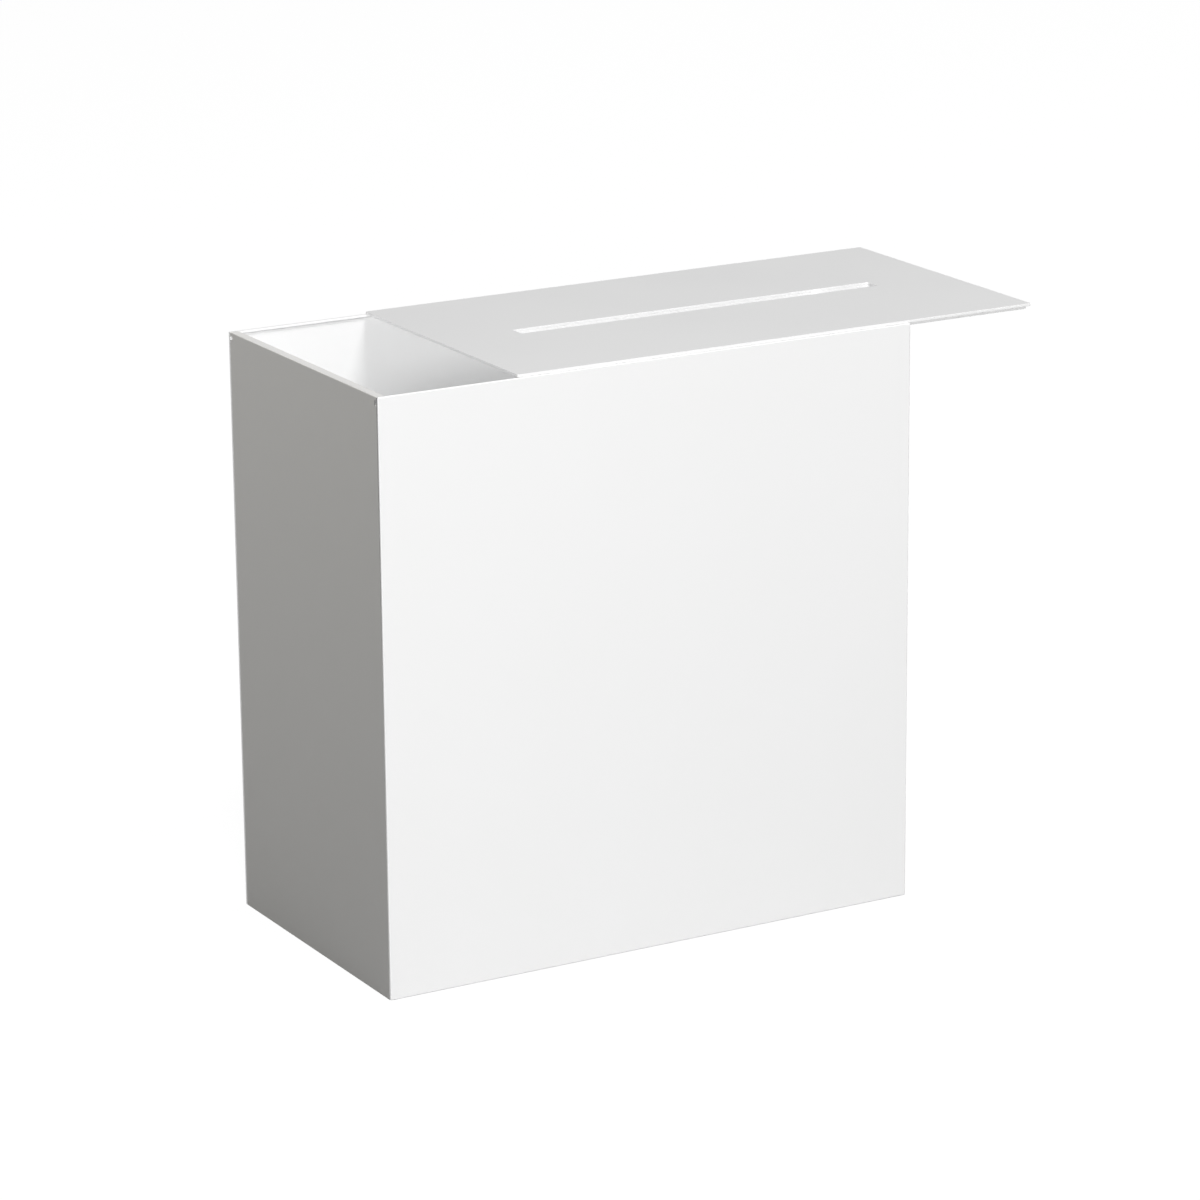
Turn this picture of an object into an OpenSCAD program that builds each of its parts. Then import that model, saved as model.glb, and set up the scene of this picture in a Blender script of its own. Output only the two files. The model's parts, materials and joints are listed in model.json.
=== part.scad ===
// Free-standing ashtray bin in white sheet steel, with a slotted sliding lid
// and a lift-out liner that has a swinging bail handle.
//
// Frame: millimetres, +Z up, front face towards -Y, the lid slides along +X.
// The origin is the centre of the body's footprint, on the face it stands on.

/* [Body] */
// Outer width of the body, along X
body_w = 320; // [240:5:420]
// Outer depth of the body, along Y
body_d = 175; // [140:5:240]
// Height of the body up to its rim, without the lid
body_h = 324.3; // [290:0.1:420]
// Thickness of the body's sheet steel
sheet = 1.5; // [1:0.1:2.5]

/* [Rims] */
// Width of the folded top of the end panels, from their outer face
end_flange = 5.2; // [4:0.1:10]
// Width of the back panel's top lip, from its outer face
back_lip = 3; // [3:0.1:5]
// Diameter of the bend relief at each top corner of the end panels
relief_d = 3; // [2:0.1:5]
// Distance of a bend relief's centre from the inner face of the panel beside it
relief_in = 1.2; // [0.8:0.1:3]
// Depth of a bend relief's centre below the panel's top
relief_drop = 3.4; // [3:0.1:8]

/* [Lid] */
// Thickness of the lid's top plate
lid_sheet = 1.5; // [1:0.1:3]
// Distance that the lid's edges stand back from the body's outer faces when it is shut
lid_in = 1.2; // [0:0.1:3]
// Thickness of the locating plate under the lid
under_sheet = 1.5; // [1:0.1:4]
// Gap between the locating plate and the front panel or back lip
lid_side_gap = 0.8; // [0.3:0.1:1.5]
// Gap between the locating plate and the left flange when the lid is shut
lid_stop_gap = 0.3; // [0.2:0.1:1]
// Gap between the locating plate and the right end panel that it slides over
lid_pass_gap = 0.4; // [0.3:0.1:1]
// Distance that the locating plate stands back from the lid's right edge
under_right_in = 2.3; // [1:0.1:6]
// Distance that the lid stands open
lid_open = 80; // [0:1:150]
// Length of the slot for cigarette ends
slot_l = 224; // [120:1:300]
// Width of the slot for cigarette ends
slot_w = 10; // [9:0.5:16]

/* [Liner] */
// Thickness of the liner's sheet
liner_sheet = 1; // [0.8:0.1:1.5]
// Height of the liner, from its underside to its rim
liner_h = 200; // [150:1:205]
// Gap between the liner and each end flange that it is lifted out past
liner_end_room = 5; // [3:0.5:10]
// Gap between the liner and the inner face of the front or back panel
liner_side_room = 12; // [11:0.5:18]
// Height of the folded safety edge along the liner's rim
hem_h = 8; // [5:0.5:14]

/* [Handle ears] */
// Thickness of an ear
ear_sheet = 2; // [1.5:0.1:2.5]
// Width of an ear
ear_w = 28; // [24:1:40]
// Length of an ear below the liner's rim
ear_drop = 26; // [22:1:40]
// Sheet left around the pivot hole, above and beside it
ear_web = 5; // [4:0.5:8]
// Diameter of an ear rivet's shank
rivet_d = 4; // [3:0.5:5]
// Diameter of an ear rivet's head
rivet_head_d = 7.5; // [6:0.5:9]
// Height of an ear rivet's head
rivet_head_h = 1.2; // [0.8:0.1:1.5]
// Distance between the two rivets of an ear
rivet_pitch = 14; // [10:1:20]
// Depth of the rivets' centres below the liner's rim
rivet_drop = 17; // [12:1:24]

/* [Bail handle] */
// Diameter of the handle's wire
wire_d = 4; // [3:0.5:5]
// Distance from the pivots to the middle of the handle's cross bar
bail_reach = 55; // [40:1:60]
// Bend radius of the handle's corners, on the wire's centre line
bail_bend = 14; // [8:1:20]
// Bend radius where a leg turns into its pivot, on the wire's centre line
pivot_bend = 4; // [3:0.5:8]
// Radial gap between a pivot and its hole
pivot_gap = 0.1; // [0.05:0.05:0.3]
// Gap between the resting handle and the liner's rim
bail_rest_gap = 0.3; // [0.2:0.1:1]

/* [Hidden] */
$fn = 64;

coat = "#f4f4f2";        // white powder coat
zinc = "#a9adae";        // hot-dip galvanised sheet
rivet_steel = "#8e9294"; // plain steel rivets
wire_steel = "#b9bcbd";  // drawn stainless wire

// Overshoot of a cutting shape past the faces it cuts
over = 1;
// Radial gap between a rivet's shank and its hole
rivet_gap = 0.1;

// Inner faces of the body
in_x = body_w / 2 - sheet;
in_y = body_d / 2 - sheet;

// Lowered top of the right end panel, which the locating plate passes over
right_h = body_h - under_sheet - lid_pass_gap;

// Half the length and half the width of the lid
lid_half_x = body_w / 2 - lid_in;
lid_half_y = body_d / 2 - lid_in;

// Liner, outside its walls
liner_l = body_w - 2 * (end_flange + liner_end_room);
liner_d = 2 * (in_y - liner_side_room);
rim_z = sheet + liner_h;

// Handle ears and pivots
ear_break = ear_w + 2;
ear_y = liner_d / 2;
pivot_z = rim_z + bail_rest_gap + wire_d / 2;
ear_r = wire_d / 2 + pivot_gap + ear_web;
leg_gap = 0.5;
leg_y = ear_y + ear_sheet + leg_gap + pivot_bend;
pivot_tip = 1.5;

// A box given by its lowest and highest corners.
module slab(lo, hi) {
    translate(lo) cube(hi - lo);
}

// A panel that spans the body's full width, with its outer face on side * body_d / 2.
module wide_panel(side) {
    outer = side * body_d / 2;
    inner = side * in_y;
    slab([-body_w / 2, min(outer, inner), 0], [body_w / 2, max(outer, inner), body_h]);
}

// An end panel between the wide panels: an upright sheet, its top folded inwards,
// and a round bend relief under the fold at both corners.
module end_panel(side, height) {
    outer = side * body_w / 2;
    inner = side * in_x;
    fold = side * (body_w / 2 - end_flange);
    difference() {
        union() {
            slab([min(outer, inner), -in_y, 0], [max(outer, inner), in_y, height]);
            slab([min(outer, fold), -in_y, height - sheet], [max(outer, fold), in_y, height]);
        }
        for (end = [-1, 1])
            translate([side * (in_x - over), end * (in_y - relief_in), height - relief_drop])
                rotate([0, side * 90, 0])
                    cylinder(h = sheet + 2 * over, d = relief_d);
    }
}

module front_panel() {
    color(coat) wide_panel(-1);
}

// The lip lies over the right end panel and stops at the left flange.
module back_panel() {
    color(coat) union() {
        wide_panel(1);
        slab([-body_w / 2 + end_flange, body_d / 2 - back_lip, body_h - sheet],
             [body_w / 2, in_y + sheet / 2, body_h]);
    }
}

module left_end_panel() {
    color(coat) end_panel(-1, body_h);
}

module right_end_panel() {
    color(coat) end_panel(1, right_h);
}

module base_panel() {
    color(coat) slab([-in_x, -in_y, 0], [in_x, in_y, sheet]);
}

// The slot goes through both plates of the lid, at the middle of the lid.
module lid_slot() {
    slab([lid_open - slot_l / 2, -slot_w / 2, body_h - under_sheet - over],
         [lid_open + slot_l / 2, slot_w / 2, body_h + lid_sheet + over]);
}

module lid_plate() {
    color(coat) difference() {
        slab([lid_open - lid_half_x, -lid_half_y, body_h],
             [lid_open + lid_half_x, lid_half_y, body_h + lid_sheet]);
        lid_slot();
    }
}

// Hangs between the front panel, the back lip and the left flange, and keeps the lid in line.
module lid_locating_plate() {
    color(coat) difference() {
        slab([lid_open - body_w / 2 + end_flange + lid_stop_gap,
              -in_y + lid_side_gap,
              body_h - under_sheet],
             [lid_open + lid_half_x - under_right_in,
              body_d / 2 - back_lip - lid_side_gap,
              body_h]);
        lid_slot();
    }
}

// Holes of one ear's two rivets, through the ear and the wall behind it.
module rivet_holes(side) {
    for (step = [-1, 1])
        translate([step * rivet_pitch / 2, side * (ear_y - liner_sheet - over), rim_z - rivet_drop])
            rotate([-side * 90, 0, 0])
                cylinder(h = liner_sheet + ear_sheet + 2 * over, d = rivet_d + 2 * rivet_gap);
}

// A long liner wall, with its rim folded outwards except behind the ear.
module liner_long_wall(side) {
    outer = side * ear_y;
    inner = side * (ear_y - liner_sheet);
    hem = side * (ear_y + liner_sheet);
    color(zinc) difference() {
        union() {
            slab([-liner_l / 2, min(outer, inner), sheet], [liner_l / 2, max(outer, inner), rim_z]);
            for (end = [-1, 1])
                slab([min(end * ear_break, end * liner_l) / 2, min(inner, hem), rim_z - hem_h],
                     [max(end * ear_break, end * liner_l) / 2, max(inner, hem), rim_z]);
        }
        rivet_holes(side);
    }
}

// A short liner wall between the long ones, with its rim folded outwards.
module liner_short_wall(side) {
    outer = side * liner_l / 2;
    inner = side * (liner_l / 2 - liner_sheet);
    hem = side * (liner_l / 2 + liner_sheet);
    half = ear_y - liner_sheet;
    color(zinc) union() {
        slab([min(outer, inner), -half, sheet], [max(outer, inner), half, rim_z]);
        slab([min(inner, hem), -half, rim_z - hem_h], [max(inner, hem), half, rim_z]);
    }
}

module liner_front_wall() {
    liner_long_wall(-1);
}

module liner_back_wall() {
    liner_long_wall(1);
}

module liner_left_wall() {
    liner_short_wall(-1);
}

module liner_right_wall() {
    liner_short_wall(1);
}

module liner_floor() {
    half_x = liner_l / 2 - liner_sheet;
    half_y = ear_y - liner_sheet;
    color(zinc) slab([-half_x, -half_y, sheet], [half_x, half_y, sheet + liner_sheet]);
}

// A flat ear on the outside of a long wall, with a round top about its pivot hole.
module handle_ear(side) {
    color(zinc) difference() {
        union() {
            translate([-ear_w / 2, side > 0 ? ear_y : -ear_y - ear_sheet, rim_z - ear_drop])
                cube([ear_w, ear_sheet, ear_drop]);
            translate([0, side * ear_y, pivot_z])
                rotate([-side * 90, 0, 0])
                    cylinder(h = ear_sheet, r = ear_r);
        }
        translate([0, side * (ear_y - over), pivot_z])
            rotate([-side * 90, 0, 0])
                cylinder(h = ear_sheet + 2 * over, r = wire_d / 2 + pivot_gap);
        rivet_holes(side);
    }
}

module front_handle_ear() {
    handle_ear(-1);
}

module back_handle_ear() {
    handle_ear(1);
}

// Four rivets: a low head on the ear, a shank, and a low head inside the liner.
module ear_rivets() {
    color(rivet_steel)
        for (side = [-1, 1], step = [-1, 1])
            translate([step * rivet_pitch / 2, side * (ear_y - liner_sheet), rim_z - rivet_drop])
                rotate([-side * 90, 0, 0])
                    union() {
                        cylinder(h = liner_sheet + ear_sheet, d = rivet_d);
                        translate([0, 0, -rivet_head_h])
                            cylinder(h = rivet_head_h, d = rivet_head_d);
                        translate([0, 0, liner_sheet + ear_sheet])
                            cylinder(h = rivet_head_h, d = rivet_head_d);
                    }
}

// A quarter bend of the wire, from +X round to +Y about the origin.
module wire_bend(radius) {
    rotate_extrude(angle = 90)
        translate([radius, 0])
            circle(d = wire_d);
}

// One half of the handle as it lies folded towards +X, on the +Y side:
// pivot, pivot bend, leg, corner bend and half of the cross bar.
module half_bail() {
    pivot_in = ear_y - pivot_tip;
    pivot_run = leg_y - pivot_bend - pivot_in;
    leg_run = bail_reach - pivot_bend - bail_bend;
    bar_run = leg_y - bail_bend;
    translate([0, pivot_in, 0]) rotate([-90, 0, 0]) cylinder(h = pivot_run, d = wire_d);
    translate([pivot_bend, leg_y - pivot_bend, 0]) rotate([0, 0, 90]) wire_bend(pivot_bend);
    translate([pivot_bend, leg_y, 0]) rotate([0, 90, 0]) cylinder(h = leg_run, d = wire_d);
    translate([bail_reach - bail_bend, leg_y - bail_bend, 0]) wire_bend(bail_bend);
    translate([bail_reach, 0, 0]) rotate([-90, 0, 0]) cylinder(h = bar_run, d = wire_d);
}

module bail_handle() {
    color(wire_steel)
        translate([0, 0, pivot_z])
            union() {
                half_bail();
                mirror([0, 1, 0]) half_bail();
            }
}

front_panel();
back_panel();
left_end_panel();
right_end_panel();
base_panel();
lid_plate();
lid_locating_plate();
liner_front_wall();
liner_back_wall();
liner_left_wall();
liner_right_wall();
liner_floor();
front_handle_ear();
back_handle_ear();
ear_rivets();
bail_handle();
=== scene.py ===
"""Looks of a white steel ashtray bin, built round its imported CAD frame.

Everything is in metres, +Z up, with the front face towards -Y and the lid sliding along +X.
"""

import json
import math

import bmesh
import bpy
from bpy.props import FloatProperty, FloatVectorProperty, IntProperty, PointerProperty
from mathutils import Matrix, Vector

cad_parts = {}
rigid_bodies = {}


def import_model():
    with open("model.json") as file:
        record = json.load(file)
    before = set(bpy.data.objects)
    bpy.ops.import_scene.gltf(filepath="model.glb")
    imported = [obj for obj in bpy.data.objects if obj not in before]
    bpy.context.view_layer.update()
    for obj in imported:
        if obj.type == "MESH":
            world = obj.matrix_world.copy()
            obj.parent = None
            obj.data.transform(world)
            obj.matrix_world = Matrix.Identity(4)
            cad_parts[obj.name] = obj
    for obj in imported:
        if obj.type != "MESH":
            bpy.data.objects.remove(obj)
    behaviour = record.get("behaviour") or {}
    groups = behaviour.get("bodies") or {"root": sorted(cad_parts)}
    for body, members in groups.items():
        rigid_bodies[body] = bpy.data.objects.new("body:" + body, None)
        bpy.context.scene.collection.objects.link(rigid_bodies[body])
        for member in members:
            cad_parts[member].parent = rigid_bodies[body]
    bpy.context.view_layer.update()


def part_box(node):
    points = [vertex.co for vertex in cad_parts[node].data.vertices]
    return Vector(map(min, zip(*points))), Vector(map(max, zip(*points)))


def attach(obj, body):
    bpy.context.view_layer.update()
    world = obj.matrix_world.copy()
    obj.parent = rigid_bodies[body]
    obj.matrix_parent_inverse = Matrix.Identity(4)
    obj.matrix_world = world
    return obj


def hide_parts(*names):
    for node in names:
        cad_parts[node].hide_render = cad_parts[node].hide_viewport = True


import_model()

bl_info = {
    "name": "Ashtray Bin",
    "version": (1, 0, 0),
    "blender": (4, 5, 0),
    "location": "View3D > Sidebar > Ashtray Bin",
    "description": "Builds a white sheet-steel ashtray bin with a sliding lid and a lift-out liner",
    "category": "Object",
}

MM = 0.001
X, Y, Z = 0, 1, 2

# Pieces of the body, liner and handle as the CAD places them: (lowest corner, highest corner).
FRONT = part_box("front_panel")
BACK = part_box("back_panel")
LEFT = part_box("left_end_panel")
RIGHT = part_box("right_end_panel")
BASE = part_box("base_panel")
LINER_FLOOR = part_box("liner_floor")
LINER_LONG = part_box("liner_front_wall")
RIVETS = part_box("ear_rivets")
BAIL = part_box("bail_handle")
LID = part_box("lid_plate")
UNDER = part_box("lid_locating_plate")

# Inner face of the back panel, and the height of the rivets.
BACK_INNER = LEFT[1].y
RIVET_Z = (RIVETS[0].z + RIVETS[1].z) / 2

# Share of a half width that a rounding may take, so that two roundings don't meet in one point.
ALL_BUT = 0.999

# A hem's outer fold, the end of its folded edge and the notch under it, as shares of the sheet.
HEM_FOLD, HEM_END, HEM_NOTCH = 0.98, 0.45, 0.1

# A weld's ripples, its crown and the depth of its ripples as shares of its leg, and its thin ends.
WELD_RIPPLES, WELD_CROWN, WELD_RIPPLE_DEPTH, WELD_END, WELD_TAPER = 14, 0.15, 0.1, 0.25, 8

# A rivet head's upright rim as a share of its height, and its underside as a share of its width.
HEAD_RIM, HEAD_UNDERSIDE = 0.3, 0.97

# Reflectance of the floor's paper as the camera sees it, and as the object sees it.
PAPER_SHADES = (0.08, 0.09)
CARD_SHADES = (0.20, 0.21)

# Width of the camera's sensor in millimetres.
SENSOR = 36

# Sides of the handle's wire.
WIRE_SIDES = 24

# Attribute that holds, for each point of the wire, its distance along it and its place across it.
WIRE_RUN = "wire_run"


def linear(hex_colour):
    """Turns an sRGB hex colour into the linear values that Blender works in."""
    values = (int(hex_colour[i:i + 2], 16) / 255 for i in (1, 3, 5))
    return tuple(v / 12.92 if v <= 0.04045 else ((v + 0.055) / 1.055) ** 2.4 for v in values)


def length(name, description, default):
    """A length that a user can change."""
    return FloatProperty(name=name, description=description, default=default, min=0.0,
                         precision=5, subtype="DISTANCE", unit="LENGTH")


def colour(name, description, hex_colour):
    """A colour that a user can change."""
    return FloatVectorProperty(name=name, description=description, default=linear(hex_colour),
                               min=0.0, max=1.0, size=3, subtype="COLOR")


class ASHBIN_PG_sizes(bpy.types.PropertyGroup):
    """Sizes of the details that the looks add to the CAD pieces."""

    sheet: length("Body sheet", "Thickness of the body's sheet steel", FRONT[1].y - FRONT[0].y)
    arris: length("Arris", "Radius that the coat gives the body's cut edges", 0.6 * MM)
    fold: length("Fold radius", "Outer radius of the folds along the rim", 0.55 * MM)
    bend: length("Inner bend", "Inner radius of the folds along the rim", 0.4 * MM)
    lid_arris: length("Lid arris", "Radius that the coat gives the lid's edges", 0.35 * MM)
    lid_corner: length("Lid corner", "Radius of the lid's corners, seen from above", 1.0 * MM)
    relief: length("Bend relief", "Diameter of the bend relief holes", 3.0 * MM)
    relief_in: length("Relief inset", "Distance of a relief's centre from the panel's end", 1.2 * MM)
    relief_drop: length("Relief drop", "Distance of a relief's centre below the top", 3.4 * MM)
    slot_length: length("Slot length", "Length of the slot for cigarette ends", 224 * MM)
    slot_width: length("Slot width", "Width of the slot for cigarette ends", 10 * MM)
    slot_corner: length("Slot corner", "Radius of the slot's corners", 0.8 * MM)
    weld_leg: length("Weld leg", "Width of the stitch welds inside the body", 2.2 * MM)
    weld_run: length("Weld length", "Length of one stitch weld", 24 * MM)
    weld_count: IntProperty(name="Welds", description="Stitch welds in each corner", default=4, min=0)
    liner_sheet: length("Liner sheet", "Thickness of the liner's sheet", LINER_FLOOR[1].z - LINER_FLOOR[0].z)
    hem: length("Hem", "Height of the folded edge along the liner's rim", 8 * MM)
    liner_arris: length("Liner arris", "Radius of the liner's edges", 0.15 * MM)
    hem_break: length("Hem break", "Gap in the hem where an ear sits", 30 * MM)
    rivet_shank: length("Rivet shank", "Diameter of a rivet's shank", 4 * MM)
    rivet_head: length("Rivet head", "Diameter of a rivet's head", 7.5 * MM)
    rivet_height: length("Rivet height", "Height of a rivet's head", 1.2 * MM)
    ear_corner: length("Ear corner", "Radius of an ear's corners", 3 * MM)
    ear_blend: length("Ear blend", "Radius where an ear's shoulder meets its crown", 2.5 * MM)
    ear_arris: length("Ear arris", "Radius of an ear's pressed edges", 0.3 * MM)
    pivot_gap: length("Pivot gap", "Radial gap between a pivot and its hole", 0.1 * MM)
    bail_bend: length("Bail bend", "Bend radius of the handle's corners", 14 * MM)
    pivot_bend: length("Pivot bend", "Bend radius where a leg turns into its pivot", 4 * MM)
    pivot_tip: length("Pivot depth", "Depth of the pivots inside the liner's outer faces", 1.5 * MM)
    pivot_arris: length("Pivot arris", "Radius round the ends of the pivots", 0.5 * MM)


class ASHBIN_PG_colours(bpy.types.PropertyGroup):
    """Colours of the finishes."""

    coat: colour("Powder coat", "White polyester powder coat", "#F5F5F5")
    coat_thin: colour("Thin coat", "Powder coat where it runs thin over an edge", "#EAEAE8")
    zinc_light: colour("Light zinc", "Brightest zinc crystals", "#E6EAEB")
    zinc_dark: colour("Dark zinc", "Dullest zinc crystals", "#B6BCBF")
    rivet: colour("Rivet steel", "Zinc-plated steel rivets", "#C2C3C0")
    wire: colour("Stainless wire", "Drawn stainless steel wire", "#CBCAC6")
    floor: colour("Floor", "Pale studio floor", "#F7F7F7")


class ASHBIN_PG_stage(bpy.types.PropertyGroup):
    """Camera, lights and floor."""

    camera_at: FloatVectorProperty(name="Camera place", description="Where the camera stands",
                                   default=(-1.22784, -2.20806, 0.90341), precision=5,
                                   subtype="TRANSLATION", unit="LENGTH")
    azimuth: FloatProperty(name="Azimuth", description="Camera's turn round the object",
                           default=math.radians(-29.412), subtype="ANGLE", unit="ROTATION")
    elevation: FloatProperty(name="Elevation", description="Camera's angle above the horizon",
                             default=math.radians(16.139), subtype="ANGLE", unit="ROTATION")
    roll: FloatProperty(name="Roll", description="Camera's roll about its own axis",
                        default=math.radians(-0.5215), subtype="ANGLE", unit="ROTATION")
    lens: FloatProperty(name="Lens", description="Focal length in millimetres on a 36 mm sensor",
                        default=145.14, min=1.0)
    floor_radius: length("Floor radius", "Radius of the floor disc", 12.0)
    key: FloatVectorProperty(name="Key light", size=5, default=(11, 57, 5.0, 1.5, 112),
                             description="Turn, height, distance, side and power of the main light")
    fill: FloatVectorProperty(name="Fill light", size=5, default=(-30, 18, 5.0, 1.5, 178),
                              description="Turn, height, distance, side and power of the fill light")
    side: FloatVectorProperty(name="Side light", size=5, default=(-115, 50, 1.3, 0.5, 4.9),
                              description="Turn, height, distance, side and power of the left end's light")
    rear: FloatVectorProperty(name="Rear light", size=5, default=(100, 25, 5.0, 1.5, 45),
                              description="Turn, height, distance, side and power of the rear light")
    inside: FloatVectorProperty(name="Inside light", size=5, default=(160, 40, 5.0, 1.5, 90),
                                description="Turn, height, distance, side and power of the inside's light")
    back: FloatVectorProperty(name="Back light", size=5, default=(195, 20, 5.0, 1.5, 130),
                              description="Turn, height, distance, side and power of the back face's light")
    right: FloatVectorProperty(name="Right light", size=5, default=(80, 20, 5.0, 1.5, 60),
                               description="Turn, height, distance, side and power of the right end's light")
    surround: FloatProperty(name="Surround", description="Brightness of the studio walls on the object",
                            default=0.20, min=0.0)


# ---------------------------------------------------------------- outlines and solids

def arc(centre, radius, start, end, steps):
    """Points along an arc from angle start to angle end, in radians."""
    return [(centre[0] + radius * math.cos(start + (end - start) * i / steps),
             centre[1] + radius * math.sin(start + (end - start) * i / steps)) for i in range(steps + 1)]


def rounded(corners, steps=6):
    """A closed outline through corners (a, b, radius), each rounded by its own radius."""
    outline = []
    for i, (a, b, radius) in enumerate(corners):
        here = Vector((a, b))
        if radius <= 0:
            outline.append((a, b))
            continue
        before = (Vector(corners[i - 1][:2]) - here).normalized()
        after = (Vector(corners[(i + 1) % len(corners)][:2]) - here).normalized()
        half = before.angle(after) / 2
        centre = here + (before + after).normalized() * radius / math.sin(half)
        first = here + before * radius / math.tan(half) - centre
        last = here + after * radius / math.tan(half) - centre
        start = math.atan2(first.y, first.x)
        turn = (math.atan2(last.y, last.x) - start + math.pi) % (2 * math.pi) - math.pi
        outline += arc(centre, radius, start, start + turn, steps)
    return outline


def rectangle(low, high, radius, steps=6):
    """A rectangle between two corners, with all its corners rounded alike."""
    return rounded([(low[0], low[1], radius), (high[0], low[1], radius),
                    (high[0], high[1], radius), (low[0], high[1], radius)], steps)


def prism(outline, axis, low, high):
    """A solid that carries an outline along an axis. The outline's coordinates are the other two axes."""
    others = [i for i in (X, Y, Z) if i != axis]
    bm = bmesh.new()
    rings = []
    for level in (low, high):
        ring = []
        for point in outline:
            place = [0.0, 0.0, 0.0]
            place[others[0]], place[others[1]], place[axis] = point[0], point[1], level
            ring.append(bm.verts.new(place))
        rings.append(ring)
    for ring in rings:
        bm.faces.new(ring)
    for i in range(len(outline)):
        j = (i + 1) % len(outline)
        bm.faces.new((rings[0][i], rings[0][j], rings[1][j], rings[1][i]))
    bmesh.ops.recalc_face_normals(bm, faces=bm.faces)
    return bm


def tube(path, radius, sides, end_arris, end_steps=4):
    """A round bar along a path of points that lies in a plane of constant Z, with rounded ends."""
    up = Vector((0, 0, 1))
    points = [Vector(p) for p in path]
    first = (points[1] - points[0]).normalized()
    last = (points[-1] - points[-2]).normalized()
    ends = [(end_arris * (1 - math.cos(turn)), radius - end_arris * (1 - math.sin(turn)))
            for turn in (math.pi / 2 * i / end_steps for i in range(end_steps + 1))]
    stations = [(points[0] + first * inwards, ring_radius, first) for inwards, ring_radius in ends]
    for i in range(1, len(points) - 1):
        stations.append((points[i], radius, (points[i + 1] - points[i - 1]).normalized()))
    stations += [(points[-1] - last * inwards, ring_radius, last) for inwards, ring_radius in reversed(ends)]
    bm = bmesh.new()
    rings = []
    for centre, ring_radius, along in stations:
        side = Vector((-along.y, along.x, 0))
        rings.append([bm.verts.new(centre + ring_radius * (side * math.cos(a) + up * math.sin(a)))
                      for a in (2 * math.pi * k / sides for k in range(sides))])
    for ring, following in zip(rings, rings[1:]):
        for k in range(sides):
            m = (k + 1) % sides
            bm.faces.new((ring[k], ring[m], following[m], following[k]))
    bm.faces.new(rings[0])
    bm.faces.new(rings[-1])
    bmesh.ops.recalc_face_normals(bm, faces=bm.faces)
    return bm


def lathe(profile, place, steps=32):
    """A solid of revolution about place's Z axis. The profile's points are (radius, height), and it starts
    and ends on the axis."""
    bm = bmesh.new()
    rings = []
    for radius, height in profile:
        if radius <= 0:
            rings.append([bm.verts.new(place @ Vector((0, 0, height)))])
        else:
            turns = (2 * math.pi * k / steps for k in range(steps))
            rings.append([bm.verts.new(place @ Vector((radius * math.cos(a), radius * math.sin(a), height)))
                          for a in turns])
    for ring, following in zip(rings, rings[1:]):
        for k in range(steps):
            m = (k + 1) % steps
            corners = [ring[k % len(ring)], ring[m % len(ring)],
                       following[m % len(following)], following[k % len(following)]]
            bm.faces.new(list(dict.fromkeys(corners)))
    bmesh.ops.recalc_face_normals(bm, faces=bm.faces)
    return bm


def merged(solids):
    """Several separate solids as one mesh."""
    whole = bmesh.new()
    for solid in solids:
        carrier = bpy.data.meshes.new("carrier")
        solid.to_mesh(carrier)
        solid.free()
        whole.from_mesh(carrier)
        bpy.data.meshes.remove(carrier)
    return whole


def placed(name, bm):
    """A new object that holds a mesh."""
    mesh = bpy.data.meshes.new(name)
    bm.to_mesh(mesh)
    bm.free()
    made = bpy.data.objects.new(name, mesh)
    bpy.context.scene.collection.objects.link(made)
    return made


def cut(made, cutters):
    """Cuts solids out of an object's mesh."""
    for cutter in cutters:
        tool = placed("cutter", cutter)
        step = made.modifiers.new("cut", "BOOLEAN")
        step.operation = "DIFFERENCE"
        step.solver = "EXACT"
        step.object = tool
        graph = bpy.context.evaluated_depsgraph_get()
        mesh = bpy.data.meshes.new_from_object(made.evaluated_get(graph))
        made.modifiers.clear()
        old = made.data
        made.data = mesh
        bpy.data.meshes.remove(old)
        bpy.data.objects.remove(tool)


def round_edges(made, radius, stays_sharp=None, segments=3, smooth_below=32):
    """Rounds an object's edges, apart from those of a flush joint, and shades it."""
    bm = bmesh.new()
    bm.from_mesh(made.data)
    bmesh.ops.remove_doubles(bm, verts=bm.verts, dist=1e-6)
    bmesh.ops.dissolve_limit(bm, angle_limit=math.radians(0.5), verts=bm.verts, edges=bm.edges)
    weight = bm.edges.layers.float.new("bevel_weight_edge")
    for edge in bm.edges:
        corner = edge.calc_face_angle(0) > math.radians(smooth_below)
        kept = corner and stays_sharp is not None and stays_sharp(edge.verts[0].co, edge.verts[1].co)
        edge.smooth = not kept
        edge[weight] = 1.0 if corner and not kept else 0.0
    for face in bm.faces:
        face.smooth = True
    bm.to_mesh(made.data)
    bm.free()
    if radius > 0:
        arris = made.modifiers.new("arris", "BEVEL")
        arris.limit_method = "WEIGHT"
        arris.width = radius
        arris.segments = segments
        arris.use_clamp_overlap = True
        arris.miter_outer = "MITER_ARC"
    shade = made.modifiers.new("flat faces", "WEIGHTED_NORMAL")
    shade.keep_sharp = True
    shade.weight = 100


def near(a, b):
    """True where two places are the same."""
    return abs(a - b) < 0.02 * MM


# ---------------------------------------------------------------- materials

def add(tree, kind, settings=None, links=None):
    """Adds a node. Settings and links go by socket or attribute name, and a node given as a link stands
    for its first output."""
    node = tree.nodes.new(kind)
    for name, value in (settings or {}).items():
        if isinstance(name, int) or name in node.inputs:
            node.inputs[name].default_value = value
        else:
            setattr(node, name, value)
    for name, source in (links or {}).items():
        tree.links.new(source.outputs[0] if isinstance(source, bpy.types.Node) else source, node.inputs[name])
    return node


def per_metre(size_mm):
    """Pattern scale for features of a real size in millimetres."""
    return 1 / (size_mm * MM)


def opaque(value):
    """A colour with full alpha."""
    return (*value, 1.0)


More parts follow.
